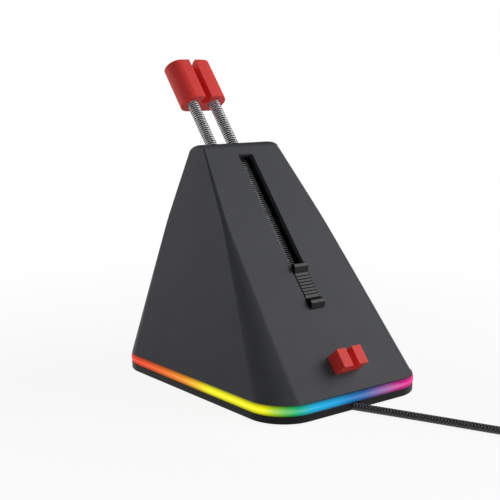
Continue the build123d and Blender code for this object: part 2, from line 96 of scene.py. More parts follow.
def linear(red: int, green: int, blue: int) -> Colour:
    """Turn a screen colour from 0 to 255 into a linear one from 0 to 1."""
    shares = [value / 255 for value in (red, green, blue)]
    return tuple(s / 12.92 if s <= 0.04045 else ((s + 0.055) / 1.055) ** 2.4 for s in shares)


# Node helpers, and what all finishes share


class Nodes:
    """A node tree under construction."""

    def __init__(self, tree: bpy.types.NodeTree) -> None:
        """Take the tree that the nodes go into."""
        self.tree = tree

    def node(self, kind: str, inputs: dict | None = None, **settings: object) -> bpy.types.Node:
        """Add a node.

        Args:
            kind: The node's type.
            inputs: Values or sockets by input name or place.
            settings: The node's own settings.

        Returns:
            The new node.
        """
        node = self.tree.nodes.new(kind)
        for name, value in settings.items():
            setattr(node, name, value)
        for name, value in (inputs or {}).items():
            self.feed(node.inputs[name], value)
        return node

    def feed(self, socket: Socket, value: object) -> None:
        """Link or set an input.

        Args:
            socket: The input.
            value: The socket that it is linked to, a list of such sockets, or its plain value.
        """
        if isinstance(value, list):
            for each in value:
                self.feed(socket, each)
        elif isinstance(value, Socket):
            self.tree.links.new(value, socket)
        else:
            socket.default_value = value

    def math(self, operation: str, first: object, second: object = 0.0, third: object = 0.0) -> Socket:
        """Add a math node, with values or sockets as inputs, and give its result."""
        inputs = {0: first, 1: second, 2: third}
        return self.node("ShaderNodeMath", inputs, operation=operation).outputs[0]


class Shader(Nodes):
    """A material under construction, with one principled shader."""

    def __init__(self, name: str) -> None:
        """Start a plain material.

        Args:
            name: The material's name.
        """
        self.material = bpy.data.materials.new(name)
        self.material.use_nodes = True
        super().__init__(self.material.node_tree)
        self.surface = self.tree.nodes["Principled BSDF"]

    def set(self, **values: object) -> None:
        """Set or link inputs of the principled shader, with _ for a space in their names."""
        for name, value in values.items():
            self.feed(self.surface.inputs[name.replace("_", " ")], value)

    def place(self) -> Socket:
        """Give the place on the piece, in metres."""
        return self.node("ShaderNodeTexCoord").outputs["Object"]

    def noise(self, where: Socket, size: float, detail: float = 2.0) -> Socket:
        """Give noise from 0 to 1 at a place, with features of about a size in metres."""
        inputs = {"Vector": where, "Scale": 1 / size, "Detail": detail}
        return self.node("ShaderNodeTexNoise", inputs).outputs["Fac"]

    def ramp(self, value: Socket, stops: Stops) -> Socket:
        """Add a colour ramp.

        Args:
            value: The socket that drives it.
            stops: Places from 0 to 1 with their linear colours.

        Returns:
            The colour's socket.
        """
        node = self.node("ShaderNodeValToRGB", {"Fac": value})
        elements = node.color_ramp.elements
        while len(elements) < len(stops):
            elements.new(1.0)
        for element, (where, colour) in zip(elements, stops):
            element.position = where
            element.color = (*colour, 1.0)
        return node.outputs["Color"]

    def fade(self, value: Socket, ends: Pair, *colours: Colour) -> Socket:
        """Fade from one colour to another as a value goes from one end to the other."""
        return self.ramp(value, tuple(zip(ends, colours)))

    def span(self, value: Socket, low: float, high: float) -> Socket:
        """Stretch a value from 0 to 1 over a range."""
        inputs = {"Value": value, "To Min": low, "To Max": high}
        return self.node("ShaderNodeMapRange", inputs).outputs[0]

    def rough(self, marks: Socket, middle: float, scatter: float) -> None:
        """Let the roughness follow marks from 0 to 1, by scatter to each side of its middle."""
        self.set(Roughness=self.span(marks, middle - scatter, middle + scatter))

    def bump(self, height: Socket, strength: float, depth: float) -> None:
        """Raise the surface by a height from 0 to 1, with a strength and a depth in metres."""
        inputs = {"Height": height, "Strength": strength, "Distance": depth}
        self.set(Normal=self.node("ShaderNodeBump", inputs).outputs["Normal"])


class Tree(Nodes):
    """A geometry node tree under construction."""

    def __init__(self, name: str, takes_geometry: bool = False) -> None:
        """Start a tree.

        Args:
            name: The tree's name.
            takes_geometry: Whether it has a geometry input.
        """
        super().__init__(bpy.data.node_groups.new(name, "GeometryNodeTree"))
        for way in ("INPUT", "OUTPUT") if takes_geometry else ("OUTPUT",):
            self.tree.interface.new_socket("Geometry", in_out=way, socket_type="NodeSocketGeometry")
        self.start = self.node("NodeGroupInput")
        self.end = self.node("NodeGroupOutput")

    def size(self, name: str, value: float | int) -> Socket:
        """Add a named input.

        Args:
            name: The input's name.
            value: Its value for this piece.

        Returns:
            The socket inside the tree.
        """
        kind = "NodeSocketInt" if isinstance(value, int) else "NodeSocketFloat"
        socket = self.tree.interface.new_socket(name, in_out="INPUT", socket_type=kind)
        socket.default_value = value
        return self.start.outputs[name]

    def keep(self, geometry: Socket, name: str, value: Socket) -> Socket:
        """Store a value on a geometry's points under a name."""
        inputs = {"Geometry": geometry, "Name": name, "Value": value}
        return self.node("GeometryNodeStoreNamedAttribute", inputs).outputs["Geometry"]

    def moved(self, geometry: Socket, place: Point) -> Socket:
        """Move a geometry to a place."""
        inputs = {"Geometry": geometry, "Translation": place}
        return self.node("GeometryNodeTransform", inputs).outputs[0]

    def ring(self, sides: int | Socket, radius: Socket) -> Socket:
        """Draw a circle of straight sides."""
        inputs = {"Resolution": sides, "Radius": radius}
        return self.node("GeometryNodeCurvePrimitiveCircle", inputs).outputs["Curve"]

    def swept(self, curve: Socket, profile: Socket) -> Socket:
        """Sweep a closed profile along a curve into a solid mesh."""
        inputs = {"Curve": curve, "Profile Curve": profile, "Fill Caps": True}
        return self.node("GeometryNodeCurveToMesh", inputs).outputs["Mesh"]

    def joined(self, *geometries: Socket) -> Socket:
        """Join geometries into one."""
        return self.node("GeometryNodeJoinGeometry", {0: list(geometries)}).outputs[0]

    def post(self, name: str, radius: float, low: float, high: float) -> Socket:
        """Add an upright cylinder whose radius and depth are named inputs.

        Args:
            name: What the cylinder is.
            radius: Its radius in metres.
            low: The height of its foot in metres.
            high: The height of its top in metres.

        Returns:
            The mesh's socket.
        """
        across, tall = self.size(name + " radius", radius), self.size(name + " depth", high - low)
        cylinder = self.node("GeometryNodeMeshCylinder", {"Radius": across, "Depth": tall})
        return self.moved(cylinder.outputs["Mesh"], (0.0, 0.0, (low + high) / 2))

    def row(self, name: str, count: int, first: Point, step: Point, size: Point) -> Socket:
        """Repeat a box along a straight row.

        Args:
            name: What the boxes are.
            count: How many there are, as a named input.
            first: The middle of the first one, in metres.
            step: From one to the next, in metres.
            size: Each box's size in metres.

        Returns:
            The boxes' socket.
        """
        box = self.node("GeometryNodeMeshCube", {"Size": size}).outputs["Mesh"]
        spots = {"Count": self.size(name + " count", count), "Start Location": first, "Offset": step}
        line = self.node("GeometryNodeMeshLine", spots).outputs["Mesh"]
        return self.node("GeometryNodeInstanceOnPoints", {"Points": line, "Instance": box}).outputs[0]

    def grow(self, name: str, geometry: Socket, carrier: Piece | None = None) -> Piece:
        """Run the tree and keep its result as a plain mesh object.

        Args:
            name: The new piece's name.
            geometry: What the tree has made.
            carrier: The object that the tree takes its geometry from, which is used up.

        Returns:
            The new piece.
        """
        real = self.node("GeometryNodeRealizeInstances", {"Geometry": geometry})
        self.feed(self.end.inputs[0], real.outputs[0])
        if carrier is None:
            carrier = add_piece(name + "_seed", bpy.data.meshes.new(name + "_seed"))
        modifier = carrier.modifiers.new("grow", "NODES")
        modifier.node_group = self.tree
        mesh = modified(carrier)
        bpy.data.objects.remove(carrier)
        mesh.name = name
        return add_piece(name, mesh)


@dataclass(frozen=True)
class Finish(ABC):
    """A look that is laid on a material of its own."""

    name: str

    @abstractmethod
    def lay(self, shader: Shader) -> None:
        """Set the look up on a material's shader."""


# Mesh helpers


def add_piece(name: str, data: bpy.types.ID) -> Piece:
    """Put an object into the scene, at the origin.

    Args:
        name: The object's name.
        data: Its mesh, curve, camera or light.

    Returns:
        The object.
    """
    piece = bpy.data.objects.new(name, data)
    bpy.context.scene.collection.objects.link(piece)
    return piece


def modified(piece: Piece) -> bpy.types.Mesh:
    """Copy the mesh that a piece's modifiers, or its curve, end in."""
    graph = bpy.context.evaluated_depsgraph_get()
    return bpy.data.meshes.new_from_object(piece.evaluated_get(graph))


def smooth(piece: Piece, degrees: float = 32.0) -> None:
    """Shade a mesh smoothly, except across edges sharper than an angle."""
    piece.data.shade_smooth()
    piece.data.set_sharp_from_angle(angle=math.radians(degrees))


def dress(piece: Piece, finish: Finish) -> None:
    """Give a piece one finish, and report it.

    Args:
        piece: The mesh object.
        finish: The finish.
    """
    shader = Shader(finish.name)
    finish.lay(shader)
    piece.data.materials.clear()
    piece.data.materials.append(shader.material)
    log.info("%s: %s", piece.name, finish.name)


def softened(
    node: str,
    name: str,
    width: float,
    segments: int = 3,
    shift: Callable[[Vector], Vector] | None = None,
    ease: Callable[[Shape], None] | None = None,
) -> Piece:
    """Copy a solid and round its sharp edges.

    Args:
        node: The solid's node.
        name: The new piece's name.
        width: Width of the rounding in metres.
        segments: Steps in the rounding.
        shift: Where each corner of the copy goes, if any moves.
        ease: A change to the copy's faces before the rounding, if any.

    Returns:
        The new piece.
    """
    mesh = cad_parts[node].data.copy()
    shape = bmesh.new()
    shape.from_mesh(mesh)
    for corner in shape.verts if shift else ():
        corner.co = shift(corner.co)
    bmesh.ops.remove_doubles(shape, verts=shape.verts, dist=WELD)
    flat = math.radians(FLAT)
    bmesh.ops.dissolve_limit(shape, angle_limit=flat, verts=shape.verts, edges=shape.edges)
    if ease:
        ease(shape)
    shape.to_mesh(mesh)
    shape.free()
    piece = add_piece(name, mesh)
    smooth(piece, NO_SHARP)
    bevel = piece.modifiers.new("round", "BEVEL")
    bevel.width = width
    bevel.segments = segments
    bevel.limit_method = "ANGLE"
    bevel.angle_limit = math.radians(SHARP)
    piece.modifiers.new("even_shading", "WEIGHTED_NORMAL")
    piece.data = modified(piece)
    piece.modifiers.clear()
    piece.data.name = name
    return piece


def stand_for(piece: Piece, finish: Finish, slot: str, *nodes: str, body: Body = Body.BASE) -> Piece:
    """Dress a piece and let it ride a body in place of its solids.

    Args:
        piece: The piece.
        finish: Its finish.
        slot: Not used.
        nodes: The solids' nodes, none for a detail that has no solid.
        body: The body that it moves with.

    Returns:
        The piece.
    """
    dress(piece, finish)
    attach(piece, body.value)
    if nodes:
        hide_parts(*nodes)
    return piece


def lofted(name: str, rings: list[list[Point]]) -> Piece:
    """Join closed rings into a closed tube.

    Args:
        name: The new piece's name.
        rings: Rings of the same number of points, each joined to the next and the last to the first.

    Returns:
        The new piece.
    """
    count = len(rings[0])
    faces = []
    for i in range(len(rings)):
        low, high = i * count, (i + 1) % len(rings) * count
        for j in range(count):
            k = (j + 1) % count
            faces.append((low + j, low + k, high + k, high + j))
    mesh = bpy.data.meshes.new(name)
    mesh.from_pydata([point for ring in rings for point in ring], [], faces)
    shape = bmesh.new()
    shape.from_mesh(mesh)
    bmesh.ops.recalc_face_normals(shape, faces=shape.faces)
    shape.to_mesh(mesh)
    shape.free()
    return add_piece(name, mesh)


# Finishes


@dataclass(frozen=True)
class MouldedPlastic(Finish):
    """Moulded plastic or rubber with a fine grain."""

    colour: Colour
    roughness: float = 0.5
    grain: float = 0.15
    grain_size: float = 0.0003
    grain_depth: float = 0.00006
    mottle: float = 0.06
    mottle_size: float = 0.02
    gloss: float = 0.2
    scatter: float = 0.05

    def lay(self, shader: Shader) -> None:
        """Mottle and grain the plastic by the place on the piece.

        Args:
            shader: The material's shader.
        """
        where = shader.place()
        cloud = shader.noise(where, self.mottle_size, detail=4.0)
        dark = tuple(c * (1 - self.mottle) for c in self.colour)
        light = tuple(min(1.0, c * (1 + self.mottle)) for c in self.colour)
        tone = shader.fade(cloud, NOISE, dark, light)
        shader.set(Base_Color=tone, Specular_IOR_Level=self.gloss)
        fine = shader.noise(where, self.grain_size, detail=3.0)
        shader.rough(fine, self.roughness, self.scatter)
        shader.bump(fine, self.grain, self.grain_depth)


@dataclass(frozen=True)
class PlainMetal(Finish):
    """Drawn or rolled metal with faint marks along one way."""

    colour: Colour
    roughness: float = 0.28
    scatter: float = 0.08
    marks: Point = (0.004, 0.0004, 0.0004)
    mark_bump: Pair = (0.1, 0.00003)
    mark_shade: float = 0.82

    def lay(self, shader: Shader) -> None:
        """Mark the metal by the place on the piece.

        Args:
            shader: The material's shader.
        """
        scale = tuple(1 / size for size in self.marks)
        stretched = shader.node("ShaderNodeMapping", {"Vector": shader.place(), "Scale": scale})
        streaks = shader.noise(stretched.outputs[0], 1.0, detail=3.0)
        dark = tuple(c * self.mark_shade for c in self.colour)
        shader.set(Base_Color=shader.fade(streaks, NOISE, dark, self.colour), Metallic=1.0)
        shader.rough(streaks, self.roughness, self.scatter)
        shader.bump(streaks, *self.mark_bump)


@dataclass(frozen=True)
class WoundWire(Finish):
    """Spring wire that is bright on the coils' crests, with painted shade in the grooves between the
    coils and on the coil's inside.
    """

    crest: Colour
    # The groove colour is painted shade, laid wherever the wire is not on the coil's outer crest
    groove: Colour
    roughness: float = 0.35
    scatter: float = 0.06
    metal: float = 0.4
    brighten: Pair = (0.72, 0.97)
    wear: float = 0.08
    mark_size: float = 0.002
    mark_bump: Pair = (0.1, 0.00003)

    def lay(self, shader: Shader) -> None:
        """Paint shade into the grooves by the coil's own crest value, and mark the wire with wear.

        Args:
            shader: The material's shader.
        """
        crest = shader.node("ShaderNodeAttribute", attribute_name="crest").outputs["Fac"]
        marks = shader.noise(shader.place(), self.mark_size, detail=3.0)
        wear_and_groove_shade = shader.math("ADD", crest, shader.span(marks, -self.wear, self.wear))
        tone = shader.fade(wear_and_groove_shade, self.brighten, self.groove, self.crest)
        shader.set(Base_Color=tone, Metallic=self.metal)
        shader.rough(marks, self.roughness, self.scatter)
        shader.bump(marks, *self.mark_bump)


@dataclass(frozen=True)
class WovenSleeve(Finish):
    """Braid over the lead, from strands that wind both ways round it."""

    strand: Colour
    gap: Colour
    strands: int = 5
    turn: float = 0.007
    brighten: Pair = (0.5, 0.95)
    roughness: float = 0.55
    sheen: float = 0.15
    sheen_roughness: float = 0.4
    relief: Pair = (0.8, 0.0003)

    def lay(self, shader: Shader) -> None:
        """Weave the braid by the lead's own along and around values.

        Args:
            shader: The material's shader.
        """
        along = shader.node("ShaderNodeAttribute", attribute_name="along").outputs["Fac"]
        around = shader.node("ShaderNodeAttribute", attribute_name="around").outputs["Fac"]
        wound = shader.math("MULTIPLY", along, 1 / self.turn)
        waves = []
        for operation in ("ADD", "SUBTRACT"):
            turns = shader.math(operation, around, wound)
            waves.append(shader.math("COSINE", shader.math("MULTIPLY", turns, math.tau * self.strands)))
        # The sum of the two waves runs from -2 to 2, and the height from 0 to 1
        raised = shader.math("MULTIPLY_ADD", shader.math("ADD", *waves), 1 / 4, 1 / 2)
        tone = shader.fade(raised, self.brighten, self.gap, self.strand)
        shader.set(Base_Color=tone, Roughness=self.roughness)
        shader.set(Sheen_Weight=self.sheen, Sheen_Roughness=self.sheen_roughness)
        shader.bump(raised, *self.relief)


@dataclass(frozen=True)
class WovenStrap(Finish):
    """Tape of fine threads that cross."""

    thread: Colour
    gap: Colour
    pitch: float = 0.0009
    brighten: Pair = (0.2, 0.8)
    roughness: float = 0.8
    gloss: float = 0.1
    relief: Pair = (0.6, 0.0002)

    def lay(self, shader: Shader) -> None:
        """Weave the tape by the place on the piece.

        Args:
            shader: The material's shader.
        """
        parts = shader.node("ShaderNodeSeparateXYZ", {"Vector": shader.place()}).outputs
        waves = []
        for axis in ("X", "Y"):
            run = shader.math("ADD", parts[axis], parts["Z"])
            waves.append(shader.math("SINE", shader.math("MULTIPLY", run, math.tau / self.pitch)))
        # The product of the two waves runs from -1 to 1, and the height from 0 to 1
        raised = shader.math("MULTIPLY_ADD", shader.math("MULTIPLY", *waves), 1 / 2, 1 / 2)
        tone = shader.fade(raised, self.brighten, self.gap, self.thread)
        shader.set(Base_Color=tone, Roughness=self.roughness, Specular_IOR_Level=self.gloss)
        shader.bump(raised, *self.relief)


@dataclass(frozen=True)
class LitDiffuser(Finish):
    """Clear strip that is lit from inside in colours that change round the base."""

    middle_z: float
    half_height: float
    stops: Stops
    rim_depth: float = 0.45
    rim_fade: float = 0.9
    rim_power: float = 1.9
    unlit: Colour = (0.02, 0.02, 0.02)
    roughness: float = 0.5
    gloss: float = 0.1

    def lay(self, shader: Shader) -> None:
        """Colour the light by the angle round the upright axis.

        Args:
            shader: The material's shader.
        """
        where = shader.place()
        parts = shader.node("ShaderNodeSeparateXYZ", {"Vector": where}).outputs
        angle = shader.math("ARCTAN2", parts["Y"], parts["X"])
        # The angle starts at minus half a turn, and the ramp at 0
        turn = shader.math("ADD", shader.math("DIVIDE", angle, math.tau), 1 / 2)
        hue = shader.ramp(turn, self.stops)
        away = shader.math("ABSOLUTE", shader.math("SUBTRACT", parts["Z"], self.middle_z))
        rim = shader.math("DIVIDE", away, self.half_height)
        deeper = shader.math("MULTIPLY_ADD", rim, self.rim_depth, 1.0)
        edge = shader.math("POWER", rim, self.rim_power)
        fainter = shader.math("MULTIPLY_ADD", edge, -self.rim_fade, 1.0)
        facing = shader.node("ShaderNodeNewGeometry").outputs["Normal"]
        outward = shader.node("ShaderNodeVectorMath", {0: where, 1: facing}, operation="DOT_PRODUCT")
        shown = shader.math("GREATER_THAN", outward.outputs["Value"])
        inputs = {"Color": hue, "Saturation": deeper, "Value": shader.math("MULTIPLY", fainter, shown)}
        lit = shader.node("ShaderNodeHueSaturation", inputs).outputs["Color"]
        shader.set(Base_Color=(*self.unlit, 1.0), Emission_Color=lit, Emission_Strength=1.0)
        shader.set(Roughness=self.roughness, Specular_IOR_Level=self.gloss)


RED = MouldedPlastic("clip_red_plastic", linear(236, 66, 62), mottle=0.04)
BLACK = MouldedPlastic("satin_black", linear(25, 22, 24), roughness=0.42, gloss=0.15)
RUBBER = MouldedPlastic("matt_rubber", linear(40, 40, 41), roughness=0.75, grain=0.4, grain_size=0.0006)
STEEL = PlainMetal("leaf_steel", linear(205, 204, 208), roughness=0.34)
ZINC = PlainMetal("screw_zinc", linear(178, 178, 182), roughness=0.35)
GOLD = PlainMetal("contact_gold", linear(222, 184, 96), roughness=0.25)
WHITE = MouldedPlastic("insulator_white", linear(226, 226, 222), grain=0.05)
GREY = MouldedPlastic("satin_grey", linear(70, 71, 75), gloss=0.15)
GLOSSY = MouldedPlastic("slider_black", linear(14, 14, 15), roughness=0.3, gloss=0.27)
GREEN = MouldedPlastic("board_green", linear(20, 80, 48), roughness=0.3, grain=0.05)
LAMP = MouldedPlastic("lamp_white", linear(236, 234, 220), roughness=0.25, grain=0.03)
INSULATION = MouldedPlastic("wire_red", linear(150, 36, 36), roughness=0.4)
BALLAST = PlainMetal("ballast_zinc", linear(150, 150, 154), roughness=0.4)
# The spring's second colour is painted shade in the grooves between its coils
GROOVE_SHADED_WIRE = WoundWire("spring_wire_groove_shade", linear(246, 247, 250), linear(8, 8, 9))
SLEEVE = WovenSleeve("woven_sleeve", linear(140, 140, 144), linear(24, 24, 26))
STRAP = WovenStrap("strap_weave", linear(58, 58, 60), linear(22, 22, 23))
# Colours of the strip, from the left side round by the front, the right and the back
RAINBOW = (
    (0.000, linear(252, 185, 91)),
    (0.020, linear(254, 206, 90)),
    (0.050, linear(255, 250, 75)),
    (0.137, linear(255, 250, 75)),
    (0.148, linear(187, 221, 109)),
    (0.159, linear(126, 201, 118)),
    (0.170, linear(84, 190, 140)),
    (0.190, linear(66, 186, 236)),
    (0.222, linear(58, 164, 220)),
    (0.240, linear(76, 137, 198)),
    (0.262, linear(93, 125, 182)),
    (0.293, linear(166, 115, 170)),
    (0.310, linear(210, 108, 166)),
    (0.330, linear(236, 70, 150)),
    (0.600, linear(236, 80, 110)),
    (0.876, linear(234, 96, 79)),
    (0.925, linear(240, 120, 74)),
    (0.985, linear(250, 166, 92)),
    (1.000, linear(252, 185, 91)),
)


def paint(node: str, finish: Finish) -> None:
    """Give a solid that stays as it is a finish."""
    dress(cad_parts[node], finish)


# Sub-assemblies


@dataclass(frozen=True)
class SoftLamp:
    """A square lamp: its place and width in metres, and its power in watts."""

    name: str
    place: Point
    width: float
    power: float


@dataclass
class Studio:
    """Floor, soft lights and the camera at the photograph's angle."""

    azimuth: float = -38.12
    elevation: float = 9.91
    distance: float = 0.4887
    aim: Point = (0.0, 0.0, 0.060)
    slide_right: float = -0.00827
    slide_up: float = 0.00179
    lens: float = 75.06
    near: float = 0.01
    floor_size: float = 6.0
    floor_tones: Pair = (0.93, 0.96)
    cloud_size: float = 0.4
    floor_roughness: float = 0.9
    floor_gloss: float = 0.1
    shadow_from: float = 0.12
    shadow_to: float = 0.34
    shadow_white: float = 0.9
    fill: float = 0.06
    lamps: tuple[SoftLamp, ...] = (
        SoftLamp("key_lamp", (0.68, -0.45, 0.58), 0.8, 7.3),
        SoftLamp("side_lamp", (-0.47, 0.81, 0.42), 0.8, 3.3),
        SoftLamp("fill_lamp", (-0.31, -0.53, 0.36), 0.12, 0.55),
    )

    def camera(self) -> None:
        """Stand the camera where the photograph was taken from."""
        turn, tilt = math.radians(self.azimuth), math.radians(self.elevation)
        level = math.cos(tilt)
        back = Vector((math.sin(turn) * level, -math.cos(turn) * level, math.sin(tilt)))
        right = Vector((math.cos(turn), math.sin(turn), 0.0))
        lens = bpy.data.cameras.new("camera")
        lens.lens = self.lens
        lens.clip_start = self.near
        camera = add_piece("camera", lens)
        shift = right * self.slide_right + back.cross(right) * self.slide_up
        camera.location = Vector(self.aim) + back * self.distance + shift
        camera.rotation_euler = (-back).to_track_quat("-Z", "Y").to_euler()
        bpy.context.scene.camera = camera

    def hang(self, lamp: SoftLamp) -> None:
        """Hang a lamp that faces the object.

        Args:
            lamp: The lamp.
        """
        light = bpy.data.lights.new(lamp.name, "AREA")
        light.size = lamp.width
        light.energy = lamp.power
        hung = add_piece(lamp.name, light)
        hung.location = lamp.place
        ahead = Vector(self.aim) - Vector(lamp.place)
        hung.rotation_euler = ahead.to_track_quat("-Z", "Y").to_euler()

    def floor(self) -> None:
        """Lay a pale floor that looks white directly and in reflections, and keeps the shadow."""
        mesh = bpy.data.meshes.new("floor")
        half = self.floor_size / 2
        corners = [(-half, -half, 0), (half, -half, 0), (half, half, 0), (-half, half, 0)]
        mesh.from_pydata(corners, [], [(0, 1, 2, 3)])
        floor = add_piece("floor", mesh)
        shader = Shader("pale_floor")
        where = shader.place()
        cloud = shader.noise(where, self.cloud_size)
        tones = [(tone,) * 3 for tone in self.floor_tones]
        shader.set(Base_Color=shader.fade(cloud, (0.0, 1.0), *tones))
        shader.set(Roughness=self.floor_roughness, Specular_IOR_Level=self.floor_gloss)
        away = shader.node("ShaderNodeVectorMath", {0: where}, operation="LENGTH").outputs["Value"]
        ends = {"From Min": self.shadow_from, "From Max": self.shadow_to, "To Min": self.shadow_white}
        clear = shader.node("ShaderNodeMapRange", {"Value": away, **ends})
        ray = shader.node("ShaderNodeLightPath").outputs
        shown = shader.math("MAXIMUM", ray["Is Camera Ray"], ray["Is Glossy Ray"])
        share = shader.math("MULTIPLY", clear.outputs[0], shown)
        white = shader.node("ShaderNodeEmission", {"Color": (1.0,) * 4}).outputs[0]
        mixed = shader.node("ShaderNodeMixShader", {0: share, 1: shader.surface.outputs[0], 2: white})
        shader.feed(shader.tree.nodes["Material Output"].inputs["Surface"], mixed.outputs[0])
        mesh.materials.append(shader.material)

    def world(self) -> None:
        """Fill the shadows softly, and show white to the camera."""
        world = bpy.data.worlds.new("studio")
        bpy.context.scene.world = world
        world.use_nodes = True
        nodes = Nodes(world.node_tree)
        seen = nodes.node("ShaderNodeLightPath").outputs["Is Camera Ray"]
        strength = nodes.node("ShaderNodeMapRange", {"Value": seen, "To Min": self.fill, "To Max": 1.0})
        background = nodes.tree.nodes["Background"].inputs
        nodes.feed(background["Color"], (1.0,) * 4)
        nodes.feed(background["Strength"], strength.outputs[0])

    def build(self) -> None:
        """Set up the view, the floor and the light."""
        bpy.context.scene.view_settings.view_transform = "Standard"
        self.camera()
        self.floor()
        self.world()
        for lamp in self.lamps:
            self.hang(lamp)
        log.info("studio: camera, floor, world and lamps")


# Normals of the wedge's front and back, from its height and how far each leans, in millimetres
FRONT_FACE = Vector((0.0, -101.9, 82.81)).normalized()
REAR_FACE = Vector((0.0, 101.9, 31.55)).normalized()


@dataclass(frozen=True)
class CornerEase:
    """Evens out the bend where two cones meet in each corner of the wedge.

    The cuts are heights above and below the bend, in millimetres. A face belongs to a corner if each
    part of its normal is more than least. The sides' lean is given by its sine and cosine.
    """

    level: float = 76.3 * MM
    cuts: tuple[float, ...] = (1.5, 4.0, 7.0, 11.0, 16.0, 22.0, 29.0)
    depth: float = 0.25 * MM
    spread: float = 8.0 * MM
    foot_z: float = 8.5 * MM
    foot_half: float = 45.0 * MM
    margin: float = 9.0 * MM
    side_sin: float = 0.2211
    side_cos: float = 0.9752
    least: float = 0.08
    weld: float = 0.02 * MM

    def faces(self, shape: Shape) -> list[bmesh.types.BMFace]:
        """Find the outer faces of the four corners near the bend.

        Args:
            shape: The wedge's faces.

        Returns:
            The faces that lie between a side and the front or the back.
        """
        found = []
        for face in shape.faces:
            middle, normal = face.calc_center_median(), face.normal
            half = self.foot_half - (middle.z - self.foot_z) * self.side_sin / self.side_cos
            outer = normal.x * middle.x > 0.0 and abs(middle.x) > half - self.margin
            turned = min(abs(normal.x), abs(normal.y), normal.z) > self.least
            heights = [corner.co.z for corner in face.verts]
            reach = self.cuts[-1] * MM
            near = min(heights) < self.level + reach and max(heights) > self.level - reach
            if outer and turned and near:
                found.append(face)
        return found

    def run(self, shape: Shape) -> None:
        """Cut the corners' faces level and press the bend in.

        Args:
            shape: The wedge's faces, which are changed.
        """
        shape.normal_update()
        for offset in (*(-cut for cut in self.cuts), *self.cuts):
            faces = self.faces(shape)
            edges = list(dict.fromkeys(edge for face in faces for edge in face.edges))
            corners = list(dict.fromkeys(corner for face in faces for corner in face.verts))
            plane = {"plane_co": (0.0, 0.0, self.level + offset * MM), "plane_no": (0.0, 0.0, 1.0)}
            bmesh.ops.bisect_plane(shape, geom=faces + edges + corners, **plane)
        bmesh.ops.dissolve_degenerate(shape, dist=self.weld, edges=shape.edges)
        shape.normal_update()
        faces = set(self.faces(shape))
        for corner in {corner for face in faces for corner in face.verts}:
            # Places on the rim of the corner stay, so that the flat faces do too
            if faces.issuperset(corner.link_faces):
                corner.co += self.press(corner)
        shape.normal_update()

    def press(self, corner: bmesh.types.BMVert) -> Vector:
        """Work out how far in a place on a corner goes.

        Args:
            corner: The place, with its normal.

        Returns:
            The move, largest in the middle of the corner and at the bend.
        """
        flank = Vector((math.copysign(self.side_cos, corner.co.x), 0.0, self.side_sin))
        end = FRONT_FACE if corner.normal.y < 0.0 else REAR_FACE
        turn = corner.normal.angle(flank)
        share = turn / (turn + corner.normal.angle(end))
        away = (corner.co.z - self.level) / self.spread
        amount = self.depth * (math.hypot(away, 1.0) - abs(away)) * math.sin(math.pi * share) ** 2
        return -amount * (flank + end).normalized()


@dataclass
class Housing:
    """The moulded wedge and the lower clip on its slope."""

    edge: float = 0.45 * MM
    clip_edge: float = 0.35 * MM
    corners: CornerEase = CornerEase()

    def build(self) -> None:
        """Round the edges of the shell and of the clip on it, and dress both."""
        shell = softened("housing", "housing_shell", self.edge, segments=2, ease=self.corners.run)
        stand_for(shell, GREY, "housing_plastic", "housing")
        clip = softened("lower_clip", "slope_clip", self.clip_edge)
        stand_for(clip, RED, "clip_red", "lower_clip")
        paint("lower_clip_screw", ZINC)


